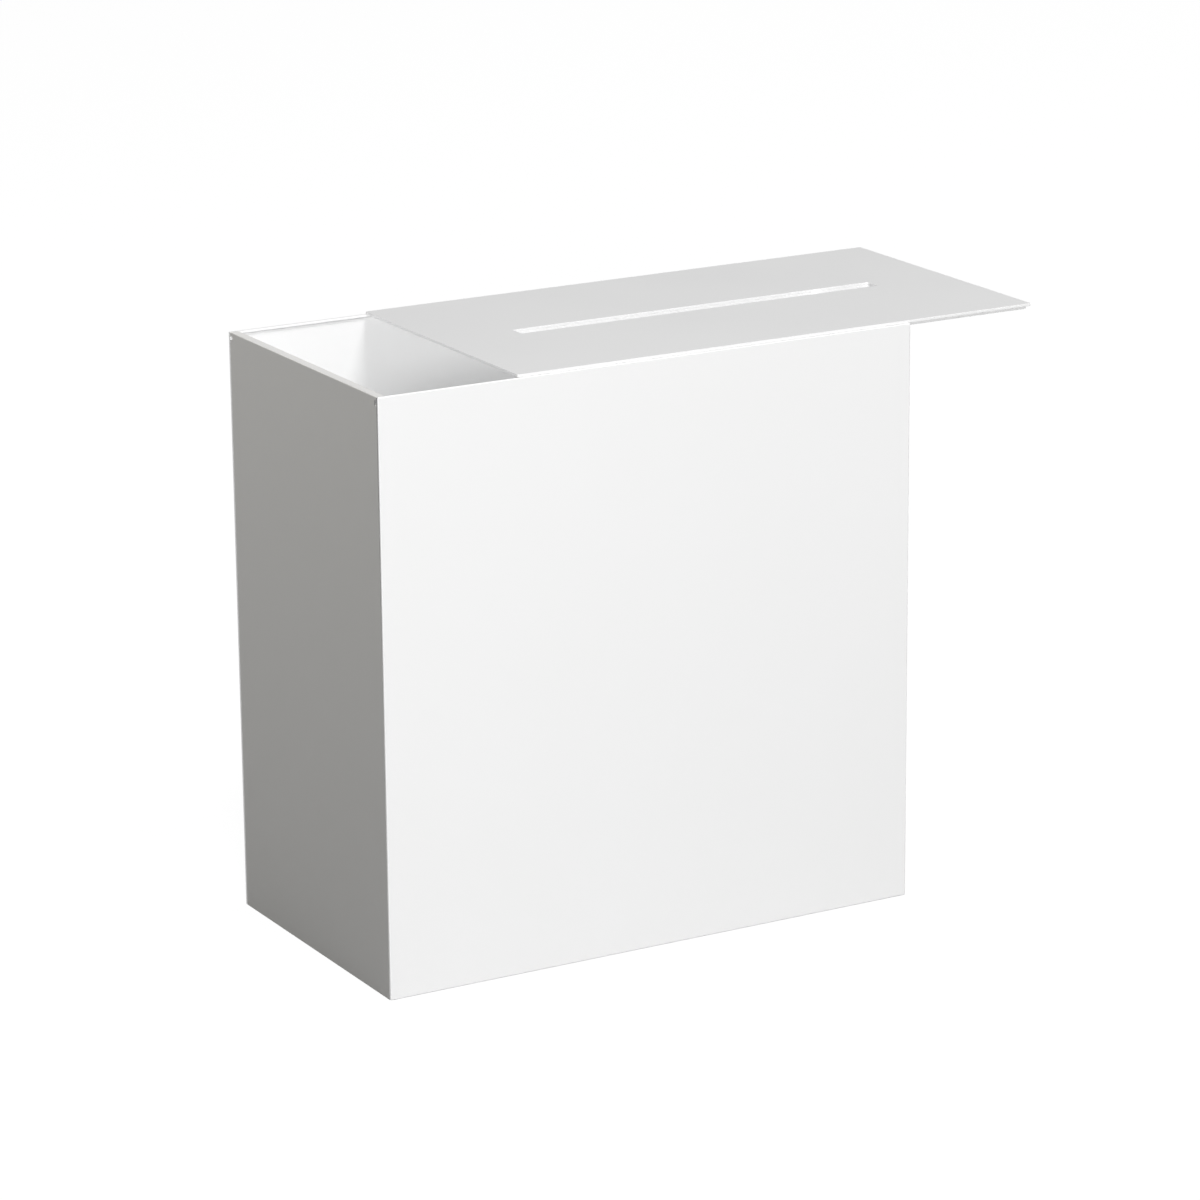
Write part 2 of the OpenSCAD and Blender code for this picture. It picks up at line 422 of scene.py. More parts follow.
def new_tree(name):
    """The empty node tree of a new material, and where its features are placed: on the piece, in metres."""
    material = bpy.data.materials.new(name)
    material.use_nodes = True
    tree = material.node_tree
    tree.nodes.clear()
    return material, tree, add(tree, "ShaderNodeTexCoord").outputs["Object"]


def edge_mask(tree, reach):
    """1 on the arrises and 0 on the flats, from how far the normal turns within reach of an edge."""
    geometry = add(tree, "ShaderNodeNewGeometry")
    softened = add(tree, "ShaderNodeBevel", {"samples": 4, "Radius": reach})
    turned = add(tree, "ShaderNodeVectorMath", {"operation": "DOT_PRODUCT"},
                 {0: geometry.outputs["Normal"], 1: softened})
    return add(tree, "ShaderNodeMapRange", {"From Min": 0.99, "From Max": 0.9, "To Min": 0.0, "To Max": 1.0},
               {"Value": turned.outputs["Value"]})


def powder_coat(colours):
    """White polyester powder coat, sprayed dry and baked: an even satin skin with faint orange peel,
    a touch greyer in broken patches where it runs thin over an arris."""
    material, tree, place = new_tree("white_powder_coat")
    cloud = add(tree, "ShaderNodeTexNoise", {"Scale": per_metre(90), "Detail": 2.0}, {"Vector": place})
    patch = add(tree, "ShaderNodeTexNoise", {"Scale": per_metre(7), "Detail": 3.0}, {"Vector": place})
    # Orange peel is a few micrometres high over 2 to 3 mm.
    peel = add(tree, "ShaderNodeTexNoise", {"Scale": per_metre(2.6), "Detail": 1.5}, {"Vector": place})
    skin = add(tree, "ShaderNodeBump", {"Strength": 0.25, "Distance": 0.02 * MM}, {"Height": peel})
    broken = add(tree, "ShaderNodeMapRange", {"From Min": 0.42, "From Max": 0.68, "To Max": 0.6},
                 {"Value": patch})
    worn = add(tree, "ShaderNodeMath", {"operation": "MULTIPLY"}, {0: broken, 1: edge_mask(tree, 0.5 * MM)})
    uneven = add(tree, "ShaderNodeMapRange", {"From Min": 0.3, "From Max": 0.7, "To Max": 0.12},
                 {"Value": cloud})
    share = add(tree, "ShaderNodeMath", {"operation": "MAXIMUM"}, {0: uneven, 1: worn})
    tint = add(tree, "ShaderNodeMix",
               {"data_type": "RGBA", 6: opaque(colours.coat), 7: opaque(colours.coat_thin)}, {0: share})
    satin = add(tree, "ShaderNodeMapRange",
                {"From Min": 0.3, "From Max": 0.7, "To Min": 0.44, "To Max": 0.54}, {"Value": cloud})
    coat = add(tree, "ShaderNodeBsdfPrincipled", {"IOR": 1.5, "Metallic": 0.0},
               {"Base Color": tint.outputs[2], "Roughness": satin, "Normal": skin})
    add(tree, "ShaderNodeOutputMaterial", links={"Surface": coat})
    return material


def galvanised_sheet(colours):
    """Hot-dip galvanised sheet, pickled, dipped in zinc and cooled: flat grey crystals about 9 mm across that
    each catch the light differently, with fine handling scratches and paler cut edges. Its dull oxide skin
    scatters part of the light, so it isn't wholly metallic."""
    material, tree, place = new_tree("galvanised_sheet")
    warp = add(tree, "ShaderNodeTexNoise", {"Scale": per_metre(5), "Detail": 2.0}, {"Vector": place})
    bent = add(tree, "ShaderNodeVectorMath", {"operation": "MULTIPLY_ADD", 1: (3 * MM,) * 3},
               {0: warp.outputs["Color"], 2: place})
    crystals = add(tree, "ShaderNodeTexVoronoi", {"Scale": per_metre(9)}, {"Vector": bent})
    grain = add(tree, "ShaderNodeSeparateColor", links={"Color": crystals.outputs["Color"]})
    # Feathering inside a crystal is finer than 0.5 mm, so it is drawn at 1.2 mm to show.
    feather = add(tree, "ShaderNodeTexNoise", {"Scale": per_metre(1.2), "Detail": 4.0}, {"Vector": place})
    # Handling scratches are hair-fine, so they are drawn 0.8 mm wide and 60 mm long.
    run = add(tree, "ShaderNodeMapping", {"Scale": (per_metre(60), per_metre(60), per_metre(0.8))},
              {"Vector": place})
    scratch = add(tree, "ShaderNodeTexNoise", {"Scale": 1.0, "Detail": 3.0}, {"Vector": run})
    scratched = add(tree, "ShaderNodeMapRange", {"From Min": 0.62, "From Max": 0.72, "To Max": 0.1},
                    {"Value": scratch})
    tone = add(tree, "ShaderNodeMath", {"operation": "MULTIPLY_ADD", 1: 0.35}, {0: feather, 2: grain})
    shade = add(tree, "ShaderNodeMapRange", {"From Min": 0.1, "From Max": 1.2}, {"Value": tone})
    pale = add(tree, "ShaderNodeMath", {"operation": "MAXIMUM"}, {0: shade, 1: edge_mask(tree, 0.4 * MM)})
    tint = add(tree, "ShaderNodeMix",
               {"data_type": "RGBA", 6: opaque(colours.zinc_dark), 7: opaque(colours.zinc_light)}, {0: pale})
    matt = add(tree, "ShaderNodeMapRange", {"To Min": 0.38, "To Max": 0.55}, {"Value": grain.outputs[1]})
    rough = add(tree, "ShaderNodeMath", {"operation": "ADD"}, {0: matt, 1: scratched})
    skin = add(tree, "ShaderNodeBump", {"Strength": 0.3, "Distance": 0.03 * MM}, {"Height": tone})
    zinc = add(tree, "ShaderNodeBsdfPrincipled", {"Metallic": 0.45},
               {"Base Color": tint.outputs[2], "Roughness": rough, "Normal": skin})
    add(tree, "ShaderNodeOutputMaterial", links={"Surface": zinc})
    return material


def plated_steel(colours):
    """Zinc-plated steel, cold-headed: bright and slightly mottled, with small dents from the setting tool."""
    material, tree, place = new_tree("zinc_plated_steel")
    mottle = add(tree, "ShaderNodeTexNoise", {"Scale": per_metre(2), "Detail": 3.0}, {"Vector": place})
    dents = add(tree, "ShaderNodeTexNoise", {"Scale": per_metre(1.1), "Detail": 1.0}, {"Vector": place})
    dull = add(tree, "ShaderNodeMath", {"operation": "MULTIPLY"}, {0: mottle, 1: edge_mask(tree, 0.3 * MM)})
    tint = add(tree, "ShaderNodeMix",
               {"data_type": "RGBA", 6: opaque(colours.rivet), 7: opaque(colours.zinc_dark)}, {0: dull})
    rough = add(tree, "ShaderNodeMapRange",
                {"From Min": 0.3, "From Max": 0.7, "To Min": 0.26, "To Max": 0.42}, {"Value": mottle})
    skin = add(tree, "ShaderNodeBump", {"Strength": 0.4, "Distance": 0.05 * MM}, {"Height": dents})
    steel = add(tree, "ShaderNodeBsdfPrincipled", {"Metallic": 1.0},
                {"Base Color": tint.outputs[2], "Roughness": rough, "Normal": skin})
    add(tree, "ShaderNodeOutputMaterial", links={"Surface": steel})
    return material


def drawn_stainless(colours):
    """Stainless spring wire, cold-drawn through a die: fine lines along the wire and a soft bright streak."""
    material, tree, place = new_tree("drawn_stainless_wire")
    run = add(tree, "ShaderNodeAttribute", {"attribute_name": WIRE_RUN})
    # Die lines are a few hundredths of a millimetre apart, so they are drawn 0.4 mm apart and 30 mm long.
    along = add(tree, "ShaderNodeMapping", {"Scale": (per_metre(30), per_metre(0.4), per_metre(0.4))},
                {"Vector": run.outputs["Vector"]})
    drawn = add(tree, "ShaderNodeTexNoise", {"Scale": 1.0, "Detail": 3.0}, {"Vector": along})
    rubbed = add(tree, "ShaderNodeTexNoise", {"Scale": per_metre(14), "Detail": 2.0}, {"Vector": place})
    dull = add(tree, "ShaderNodeMath", {"operation": "MULTIPLY"}, {0: rubbed, 1: drawn})
    tint = add(tree, "ShaderNodeMix",
               {"data_type": "RGBA", 6: opaque(colours.wire), 7: opaque(colours.zinc_dark)}, {0: dull})
    rough = add(tree, "ShaderNodeMapRange", {"From Min": 0.3, "From Max": 0.7, "To Min": 0.2, "To Max": 0.34},
                {"Value": rubbed})
    skin = add(tree, "ShaderNodeBump", {"Strength": 0.3, "Distance": 0.02 * MM}, {"Height": drawn})
    steel = add(tree, "ShaderNodeBsdfPrincipled", {"Metallic": 1.0},
                {"Base Color": tint.outputs[2], "Roughness": rough, "Normal": skin})
    add(tree, "ShaderNodeOutputMaterial", links={"Surface": steel})
    return material


def studio_paper(colours):
    """Seamless studio paper, lit from below to pure white, so that it shows only a breath of contact shadow.
    The object sees it as a grey card, so that its lower faces keep their shade."""
    material, tree, place = new_tree("studio_paper")
    fibre = add(tree, "ShaderNodeTexNoise", {"Scale": per_metre(6), "Detail": 2.0}, {"Vector": place})
    darker, paler = (opaque((shade,) * 3) for shade in PAPER_SHADES)
    paper = add(tree, "ShaderNodeMix", {"data_type": "RGBA", 6: darker, 7: paler}, {0: fibre})
    shown = add(tree, "ShaderNodeBsdfDiffuse", {"Roughness": 0.9}, {"Color": paper.outputs[2]})
    glow = add(tree, "ShaderNodeEmission", {"Color": opaque(colours.floor), "Strength": 1.0})
    lit = add(tree, "ShaderNodeAddShader", links={0: shown, 1: glow})
    darker, paler = (opaque((shade,) * 3) for shade in CARD_SHADES)
    grey = add(tree, "ShaderNodeMix", {"data_type": "RGBA", 6: darker, 7: paler}, {0: fibre})
    card = add(tree, "ShaderNodeBsdfDiffuse", {"Roughness": 0.9}, {"Color": grey.outputs[2]})
    ray = add(tree, "ShaderNodeLightPath")
    seen = add(tree, "ShaderNodeMixShader", links={0: ray.outputs["Is Camera Ray"], 1: card, 2: lit})
    add(tree, "ShaderNodeOutputMaterial", links={"Surface": seen})
    return material


# The record's material slots, and the function that makes each one's finish.
FINISHES = {"white_powder_coat": powder_coat, "galvanised_sheet": galvanised_sheet,
            "rivet_steel": plated_steel, "stainless_wire": drawn_stainless}
made_finishes = {}


def finished(made, body, slot, *nodes):
    """Puts a piece on its body, in its finish, in the place of the CAD nodes that it stands for."""
    if slot not in made_finishes:
        made_finishes[slot] = FINISHES[slot](bpy.context.scene.ashbin_colours)
    made.data.materials.clear()
    made.data.materials.append(made_finishes[slot])
    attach(made, body)
    if nodes:
        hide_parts(*nodes)


# ---------------------------------------------------------------- body

def relief_tools(sizes, side, top):
    """Bars that cut the two bend reliefs at the top corners of an end panel."""
    outer = (LEFT[0].x if side < 0 else RIGHT[1].x)
    reach = 2 * sizes.sheet
    tools = []
    for end in (FRONT[1].y + sizes.relief_in, BACK_INNER - sizes.relief_in):
        hole = arc((end, top - sizes.relief_drop), sizes.relief / 2, 0, 2 * math.pi, 40)[:-1]
        tools.append(prism(hole, X, outer - reach, outer + reach))
    return tools


class ASHBIN_OT_front_panel(bpy.types.Operator):
    """Builds the front panel: one flat sheet with rounded arrises"""
    bl_idname = "ashbin.front_panel"
    bl_label = "Front Panel"

    def execute(self, context):
        sizes = context.scene.ashbin_sizes
        low, high = FRONT
        face = rectangle((low.x, low.z), (high.x, high.z), 0)
        made = placed("coated_front_panel", prism(face, Y, low.y, high.y))

        def flush(a, b):
            return near(a.y, high.y) and near(b.y, high.y) and not (near(a.z, high.z) and near(b.z, high.z))
        round_edges(made, sizes.arris, flush)
        finished(made, "body", "white_powder_coat", "front_panel")
        return {"FINISHED"}


class ASHBIN_OT_back_panel(bpy.types.Operator):
    """Builds the back panel, whose top is folded forwards into a narrow lip"""
    bl_idname = "ashbin.back_panel"
    bl_label = "Back Panel"

    def execute(self, context):
        sizes = context.scene.ashbin_sizes
        low, high = BACK
        inner, under = BACK_INNER, high.z - sizes.sheet
        profile = rounded([(high.y, low.z, 0), (high.y, high.z, sizes.fold), (low.y, high.z, sizes.arris),
                           (low.y, under, sizes.arris), (inner, under, sizes.bend), (inner, low.z, 0)])
        made = placed("coated_back_panel", prism(profile, X, low.x, high.x))
        clear = sizes.sheet
        flange_end = rectangle((low.y - clear, under - clear), (inner, high.z + clear), 0)
        cut(made, [prism(flange_end, X, low.x - clear, LEFT[1].x)])

        def flush(a, b):
            return near(a.y, inner) and near(b.y, inner)
        round_edges(made, sizes.arris, flush)
        finished(made, "body", "white_powder_coat", "back_panel")
        return {"FINISHED"}


class ASHBIN_OT_end_panels(bpy.types.Operator):
    """Builds the two end panels, whose tops are folded inwards past two round bend reliefs"""
    bl_idname = "ashbin.end_panels"
    bl_label = "End Panels"

    def execute(self, context):
        sizes = context.scene.ashbin_sizes
        for name, side, (low, high) in (("left_end_panel", -1, LEFT), ("right_end_panel", 1, RIGHT)):
            outer, lip = (low.x, high.x) if side < 0 else (high.x, low.x)
            inner, under = outer - side * sizes.sheet, high.z - sizes.sheet
            profile = rounded([(outer, low.z, 0), (outer, high.z, sizes.fold), (lip, high.z, sizes.arris),
                               (lip, under, sizes.arris), (inner, under, sizes.bend), (inner, low.z, 0)])
            made = placed("coated_" + name, prism(profile, Y, low.y, high.y))
            cut(made, relief_tools(sizes, side, high.z))

            def flush(a, b, ends=(low.y, high.y)):
                return any(near(a.y, end) and near(b.y, end) for end in ends)
            round_edges(made, sizes.arris / 2, flush)
            finished(made, "body", "white_powder_coat", name)
        return {"FINISHED"}


class ASHBIN_OT_base_panel(bpy.types.Operator):
    """Builds the base panel, with a fine seam where it is welded in"""
    bl_idname = "ashbin.base_panel"
    bl_label = "Base Panel"

    def execute(self, context):
        sizes = context.scene.ashbin_sizes
        low, high = BASE
        face = rectangle((low.x, low.y), (high.x, high.y), 0)
        made = placed("coated_base_panel", prism(face, Z, low.z, high.z))
        round_edges(made, sizes.arris)
        finished(made, "body", "white_powder_coat", "base_panel")
        return {"FINISHED"}


def weld_bead(corner, leg, start, run):
    """A fillet weld up a vertical corner, slightly crowned, that swells and narrows along its run."""
    corner_x, corner_y, way_x, way_y = corner
    bm = bmesh.new()
    rings = []
    steps, facets = WELD_RIPPLES * 4, 6
    for i in range(steps + 1):
        t = i / steps
        taper = min(1.0, WELD_TAPER * min(t, 1 - t) + WELD_END)
        ripple = 1 - WELD_RIPPLE_DEPTH + WELD_RIPPLE_DEPTH * math.cos(2 * math.pi * WELD_RIPPLES * t)
        size = leg * taper * ripple
        outline = [(0.0, 0.0)]
        for k in range(facets + 1):
            share = k / facets
            bulge = WELD_CROWN * math.sin(math.pi * share)
            outline.append((size * (1 - share + bulge), size * (share + bulge)))
        rings.append([bm.verts.new((corner_x + way_x * x, corner_y + way_y * y, start + run * t))
                      for x, y in outline])
    count = len(rings[0])
    for below, above in zip(rings, rings[1:]):
        for k in range(count):
            m = (k + 1) % count
            bm.faces.new((below[k], below[m], above[m], above[k]))
    bm.faces.new(rings[0])
    bm.faces.new(rings[-1])
    bmesh.ops.recalc_face_normals(bm, faces=bm.faces)
    return bm


class ASHBIN_OT_stitch_welds(bpy.types.Operator):
    """Builds the stitch welds in the body's four inner corners, under the same coat"""
    bl_idname = "ashbin.stitch_welds"
    bl_label = "Stitch Welds"

    def execute(self, context):
        sizes = context.scene.ashbin_sizes
        corners = {
            "front_left": (LEFT[0].x + sizes.sheet, FRONT[1].y, 1, 1),
            "front_right": (RIGHT[1].x - sizes.sheet, FRONT[1].y, -1, 1),
            "back_left": (LEFT[0].x + sizes.sheet, BACK_INNER, 1, -1),
            "back_right": (RIGHT[1].x - sizes.sheet, BACK_INNER, -1, -1),
        }
        first = BASE[1].z + sizes.weld_run
        last = RIGHT[1].z - 2 * sizes.relief_drop - sizes.weld_run
        for name, corner in corners.items():
            beads = []
            for i in range(sizes.weld_count):
                start = first + (last - first) * i / max(1, sizes.weld_count - 1)
                beads.append(weld_bead(corner, sizes.weld_leg, start, sizes.weld_run))
            made = placed("stitch_weld_" + name, merged(beads))
            round_edges(made, 0, smooth_below=50)
            finished(made, "body", "white_powder_coat")
        return {"FINISHED"}


# ---------------------------------------------------------------- lid

class ASHBIN_OT_lid(bpy.types.Operator):
    """Builds the lid's top plate and its locating plate, with the slot through both"""
    bl_idname = "ashbin.lid"
    bl_label = "Lid"

    def execute(self, context):
        sizes = context.scene.ashbin_sizes
        middle = (LID[0].x + LID[1].x) / 2
        half_l, half_w = sizes.slot_length / 2, sizes.slot_width / 2
        slot = rectangle((middle - half_l, -half_w), (middle + half_l, half_w), sizes.slot_corner)
        for name, (low, high), radius in (("lid_plate", LID, sizes.lid_arris),
                                          ("lid_locating_plate", UNDER, sizes.arris)):
            outline = rectangle((low.x, low.y), (high.x, high.y), sizes.lid_corner)
            made = placed("coated_" + name, prism(outline, Z, low.z, high.z))
            cut(made, [prism(slot, Z, low.z - sizes.sheet, high.z + sizes.sheet)])
            round_edges(made, radius)
            finished(made, "lid", "white_powder_coat", name)
        return {"FINISHED"}


# ---------------------------------------------------------------- liner and handle

def hemmed(sheet, hem, low, high, outer, out):
    """Section of a liner wall, as (across, height): upright sheet with its rim folded outwards and down."""
    fold = sheet * HEM_FOLD
    return rounded([(outer - out * sheet, low, 0), (outer - out * sheet, high, fold),
                    (outer + out * sheet, high, fold), (outer + out * sheet, high - hem, sheet * HEM_END),
                    (outer, high - hem, sheet * HEM_NOTCH), (outer, low, 0)])


class ASHBIN_OT_liner_walls(bpy.types.Operator):
    """Builds the liner's four walls, each with a safety hem folded outwards along its rim"""
    bl_idname = "ashbin.liner_walls"
    bl_label = "Liner Walls"

    def execute(self, context):
        sizes = context.scene.ashbin_sizes
        sheet, hem = sizes.liner_sheet, sizes.hem
        for name, out in (("liner_front_wall", -1), ("liner_back_wall", 1)):
            low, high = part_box(name)
            outer = (high.y if out > 0 else low.y) - out * sheet
            section = hemmed(sheet, hem, low.z, high.z, outer, out)
            made = placed("folded_" + name, prism(section, X, low.x, high.x))
            beyond = outer + out * 2 * sheet
            gap = rectangle((min(outer, beyond), high.z - hem - sheet),
                            (max(outer, beyond), high.z + sheet), 0)
            shanks = []
            for x in rivet_places(sizes):
                hole = arc((x, RIVET_Z), sizes.rivet_shank / 2, 0, 2 * math.pi, 32)[:-1]
                shanks.append(prism(hole, Y, outer - 2 * sheet, outer + 2 * sheet))
            cut(made, [prism(gap, X, -sizes.hem_break / 2, sizes.hem_break / 2), *shanks])
            round_edges(made, sizes.liner_arris, smooth_below=40)
            finished(made, "liner", "galvanised_sheet", name)
        for name, out in (("liner_left_wall", -1), ("liner_right_wall", 1)):
            low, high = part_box(name)
            outer = (high.x if out > 0 else low.x) - out * sheet
            section = hemmed(sheet, hem, low.z, high.z, outer, out)
            made = placed("folded_" + name, prism(section, Y, low.y, high.y))
            round_edges(made, sizes.liner_arris, smooth_below=40)
            finished(made, "liner", "galvanised_sheet", name)
        return {"FINISHED"}


class ASHBIN_OT_liner_floor(bpy.types.Operator):
    """Builds the liner's floor"""
    bl_idname = "ashbin.liner_floor"
    bl_label = "Liner Floor"

    def execute(self, context):
        sizes = context.scene.ashbin_sizes
        low, high = LINER_FLOOR
        face = rectangle((low.x, low.y), (high.x, high.y), 0)
        made = placed("folded_liner_floor", prism(face, Z, low.z, high.z))
        round_edges(made, sizes.liner_arris)
        finished(made, "liner", "galvanised_sheet", "liner_floor")
        return {"FINISHED"}


def rivet_places(sizes):
    """Places of an ear's rivets along X."""
    reach = RIVETS[1].x - sizes.rivet_head / 2
    return -reach, reach


class ASHBIN_OT_handle_ears(bpy.types.Operator):
    """Builds the two ears that the handle turns in"""
    bl_idname = "ashbin.handle_ears"
    bl_label = "Handle Ears"

    def execute(self, context):
        sizes = context.scene.ashbin_sizes
        pivot = (BAIL[0].z + BAIL[1].z) / 2
        wire = BAIL[1].z - BAIL[0].z
        for name in ("front_handle_ear", "back_handle_ear"):
            low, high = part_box(name)
            crown = high.z - pivot
            shoulder = LINER_LONG[1].z
            corner, blend = sizes.ear_corner, sizes.ear_blend
            top = crown * ALL_BUT
            outline = rounded([(low.x, low.z, corner), (high.x, low.z, corner), (high.x, shoulder, corner),
                               (crown, shoulder, blend), (crown, high.z, top),
                               (-crown, high.z, top), (-crown, shoulder, blend),
                               (low.x, shoulder, corner)], steps=10)
            made = placed("pressed_" + name, prism(outline, Y, low.y, high.y))
            reach = high.y - low.y
            holes = [((0, pivot), wire / 2 + sizes.pivot_gap)]
            holes += [((x, RIVET_Z), sizes.rivet_shank / 2) for x in rivet_places(sizes)]
            cut(made, [prism(arc(at, radius, 0, 2 * math.pi, 40)[:-1], Y, low.y - reach, high.y + reach)
                       for at, radius in holes])
            round_edges(made, sizes.ear_arris)
            finished(made, "liner", "galvanised_sheet", name)
        return {"FINISHED"}


class ASHBIN_OT_ear_rivets(bpy.types.Operator):
    """Builds the four rivets, each with a domed head on the ear and a like domed head inside the liner"""
    bl_idname = "ashbin.ear_rivets"
    bl_label = "Ear Rivets"

    def execute(self, context):
        sizes = context.scene.ashbin_sizes
        head, height, shank = sizes.rivet_head / 2, sizes.rivet_height, sizes.rivet_shank / 2
        for side_name, side in (("front", -1), ("back", 1)):
            ear_low, ear_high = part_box(side_name + "_handle_ear")
            outside = ear_high.y if side > 0 else ear_low.y
            inside = outside - side * (ear_high.y - ear_low.y + sizes.liner_sheet)
            grip = abs(outside - inside)
            rim, under, steps = HEAD_RIM * height, HEAD_UNDERSIDE * head, 8
            turns = [math.pi / 2 * k / steps for k in range(steps + 1)]
            dome = [(head * math.sin(turn), rim + (height - rim) * math.cos(turn)) for turn in turns]
            profile = [*((radius, grip + rise) for radius, rise in dome), (under, grip), (shank, grip),
                       (shank, 0), (under, 0), *((radius, -rise) for radius, rise in reversed(dome))]
            for along_name, x in zip(("left", "right"), rivet_places(sizes)):
                turn = Matrix.Rotation(-side * math.pi / 2, 4, "X")
                place = Matrix.Translation((x, inside, RIVET_Z)) @ turn
                made = placed(f"rivet_{side_name}_{along_name}", lathe(profile, place))
                round_edges(made, 0, smooth_below=50)
                finished(made, "liner", "rivet_steel", "ear_rivets")
        return {"FINISHED"}


class ASHBIN_OT_bail_handle(bpy.types.Operator):
    """Builds the bail handle: one wire bent at its corners and into its two pivots"""
    bl_idname = "ashbin.bail_handle"
    bl_label = "Bail Handle"

    def execute(self, context):
        sizes = context.scene.ashbin_sizes
        wire = (BAIL[1].z - BAIL[0].z) / 2
        reach, leg = BAIL[1].x - wire, BAIL[1].y - wire
        outer_wall = LINER_LONG[0].y + sizes.liner_sheet
        tip = -(outer_wall + sizes.pivot_tip)
        pivot, corner = sizes.pivot_bend, sizes.bail_bend
        half = [(0, tip)]
        half += arc((pivot, leg - pivot), pivot, math.pi, math.pi / 2, 10)
        half += arc((reach - corner, leg - corner), corner, math.pi / 2, 0, 16)
        route = half + [(x, -y) for x, y in reversed(half)]
        height = BAIL[0].z + wire
        path = [(x, y, height) for x, y in route]
        made = placed("bent_bail_handle", tube(path, wire, WIRE_SIDES, sizes.pivot_arris))
        run = made.data.attributes.new(WIRE_RUN, "FLOAT_VECTOR", "POINT")
        along, before = 0.0, None
        for start in range(0, len(made.data.vertices), WIRE_SIDES):
            middle = sum((made.data.vertices[start + k].co for k in range(WIRE_SIDES)), Vector()) / WIRE_SIDES
            along += (middle - before).length if before else 0.0
            before = middle
            for k in range(WIRE_SIDES):
                turn = 2 * math.pi * k / WIRE_SIDES
                run.data[start + k].vector = (along, wire * math.cos(turn), wire * math.sin(turn))
        for face in made.data.polygons:
            face.use_smooth = True
        finished(made, "handle", "stainless_wire", "bail_handle")
        return {"FINISHED"}


# ---------------------------------------------------------------- stage

def looking(azimuth, elevation):
    """Direction from the object to something that looks at it, as the views count their angles."""
    return Vector((math.sin(azimuth) * math.cos(elevation), -math.cos(azimuth) * math.cos(elevation),
                   math.sin(elevation)))


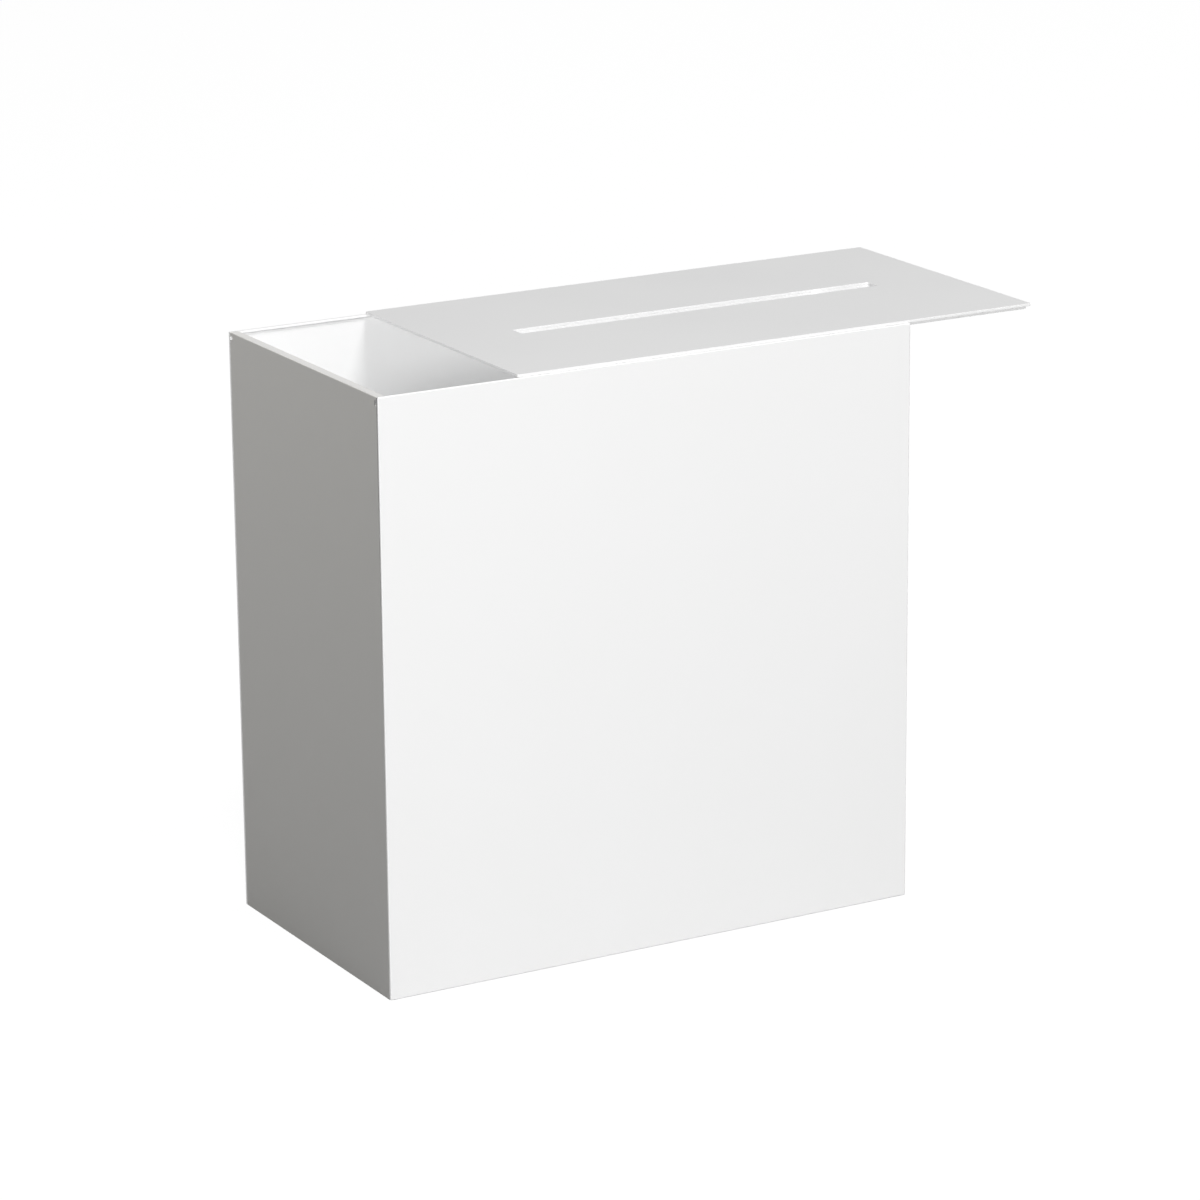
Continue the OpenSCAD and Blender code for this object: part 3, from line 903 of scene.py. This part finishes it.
class ASHBIN_OT_stage(bpy.types.Operator):
    """Sets the camera, the studio light and the pale floor"""
    bl_idname = "ashbin.stage"
    bl_label = "Stage"

    def linked(self, name, pieces, state):
        """A collection that includes or excludes pieces for a light."""
        made = bpy.data.collections.new(name)
        for i, piece in enumerate(pieces):
            made.objects.link(bpy.data.objects[piece])
            made.collection_objects[i].light_linking.link_state = state
        return made

    def light(self, scene, name, values, aim, tint):
        """A square area light that faces a point."""
        azimuth, elevation, distance, side, power = values
        light = bpy.data.objects.new(name, bpy.data.lights.new(name, "AREA"))
        light.data.size = side
        light.data.energy = power
        light.data.color = tint
        towards = looking(math.radians(azimuth), math.radians(elevation))
        light.location = aim + towards * distance
        light.rotation_mode = "QUATERNION"
        light.rotation_quaternion = towards.to_track_quat("Z", "Y")
        scene.collection.objects.link(light)
        return light

    def execute(self, context):
        scene, stage = context.scene, context.scene.ashbin_stage
        scene.view_settings.view_transform = "Standard"

        back = looking(stage.azimuth, stage.elevation)
        across = Vector((math.cos(stage.azimuth), math.sin(stage.azimuth), 0))
        up = back.cross(across)
        level = Matrix((across, up, back)).transposed()
        camera = bpy.data.objects.new("camera", bpy.data.cameras.new("camera"))
        camera.matrix_world = (Matrix.Translation(stage.camera_at) @ level.to_4x4()
                               @ Matrix.Rotation(stage.roll, 4, "Z"))
        camera.data.lens = stage.lens
        camera.data.sensor_width = SENSOR
        scene.collection.objects.link(camera)
        scene.camera = camera

        middle = Vector((0, 0, FRONT[1].z / 2))
        left_end = Vector((LEFT[0].x, 0, FRONT[1].z / 2))
        neutral, warm = linear("#FFFFFF"), linear("#FFFCF4")
        lights = {
            "key_light": (stage.key, middle, neutral),
            "fill_light": (stage.fill, middle, neutral),
            "side_light": (stage.side, left_end, warm),
            "rear_light": (stage.rear, middle, neutral),
            "inside_light": (stage.inside, middle, neutral),
            "back_light": (stage.back, middle, neutral),
            "right_light": (stage.right, middle, neutral),
        }
        made = {name: self.light(scene, name, *values) for name, values in lights.items()}

        # The left end is lit by its own light instead of the fill, and fades down the panel. The front
        # panel has one for its inner face, which shows through the bend reliefs, and the two faces that
        # are turned away from the key have one each.
        alone = {
            "side_light": "coated_left_end_panel",
            "inside_light": "coated_front_panel",
            "back_light": "coated_back_panel",
            "right_light": "coated_right_end_panel",
        }
        for name, piece in alone.items():
            made[name].light_linking.receiver_collection = self.linked("lit by " + name, [piece], "INCLUDE")
        # The fill stands for light from all round the front, so the rim and the lid don't shade the
        # inside from it.
        fill = made["fill_light"].light_linking
        fill.receiver_collection = self.linked("lit by fill_light", ["coated_left_end_panel"], "EXCLUDE")
        shades = ["coated_left_end_panel", "coated_lid_plate", "coated_lid_locating_plate"]
        fill.blocker_collection = self.linked("shade fill_light", shades, "EXCLUDE")

        world = bpy.data.worlds.new("studio")
        world.use_nodes = True
        tree = world.node_tree
        tree.nodes.clear()
        walls = add(tree, "ShaderNodeBackground", {"Color": (1, 1, 1, 1), "Strength": stage.surround})
        white = add(tree, "ShaderNodeBackground", {"Color": (1, 1, 1, 1), "Strength": 1.0})
        ray = add(tree, "ShaderNodeLightPath")
        seen = add(tree, "ShaderNodeMixShader", links={0: ray.outputs["Is Camera Ray"], 1: walls, 2: white})
        add(tree, "ShaderNodeOutputWorld", links={"Surface": seen})
        scene.world = world

        disc = bmesh.new()
        bmesh.ops.create_circle(disc, cap_ends=True, segments=96, radius=stage.floor_radius)
        floor = placed("floor", disc)
        floor.data.materials.append(studio_paper(scene.ashbin_colours))
        return {"FINISHED"}


OPERATORS = (
    ASHBIN_OT_front_panel, ASHBIN_OT_back_panel, ASHBIN_OT_end_panels, ASHBIN_OT_base_panel,
    ASHBIN_OT_stitch_welds, ASHBIN_OT_lid, ASHBIN_OT_liner_walls, ASHBIN_OT_liner_floor,
    ASHBIN_OT_handle_ears, ASHBIN_OT_ear_rivets, ASHBIN_OT_bail_handle, ASHBIN_OT_stage,
)


class ASHBIN_PT_sidebar(bpy.types.Panel):
    """Lists the bin's pieces in the 3D view's sidebar"""
    bl_idname = "ASHBIN_PT_sidebar"
    bl_label = "Ashtray Bin"
    bl_space_type = "VIEW_3D"
    bl_region_type = "UI"
    bl_category = "Ashtray Bin"

    def draw(self, context):
        for group in (context.scene.ashbin_sizes, context.scene.ashbin_colours, context.scene.ashbin_stage):
            box = self.layout.box()
            for name in group.__annotations__:
                box.prop(group, name)
        for operator in OPERATORS:
            self.layout.operator(operator.bl_idname)


GROUPS = {"ashbin_sizes": ASHBIN_PG_sizes, "ashbin_colours": ASHBIN_PG_colours,
          "ashbin_stage": ASHBIN_PG_stage}


def register():
    """Adds the property groups to the scene, and the operators and the panel to Blender."""
    for name, group in GROUPS.items():
        bpy.utils.register_class(group)
        setattr(bpy.types.Scene, name, PointerProperty(type=group))
    for made in (*OPERATORS, ASHBIN_PT_sidebar):
        bpy.utils.register_class(made)


def unregister():
    """Takes them all out again."""
    for made in (ASHBIN_PT_sidebar, *reversed(OPERATORS)):
        bpy.utils.unregister_class(made)
    for name, group in GROUPS.items():
        delattr(bpy.types.Scene, name)
        bpy.utils.unregister_class(group)


def main():
    """Builds everything in order."""
    register()
    for operator in OPERATORS:
        group, name = operator.bl_idname.split(".")
        getattr(getattr(bpy.ops, group), name)()


if __name__ == "__main__":
    main()
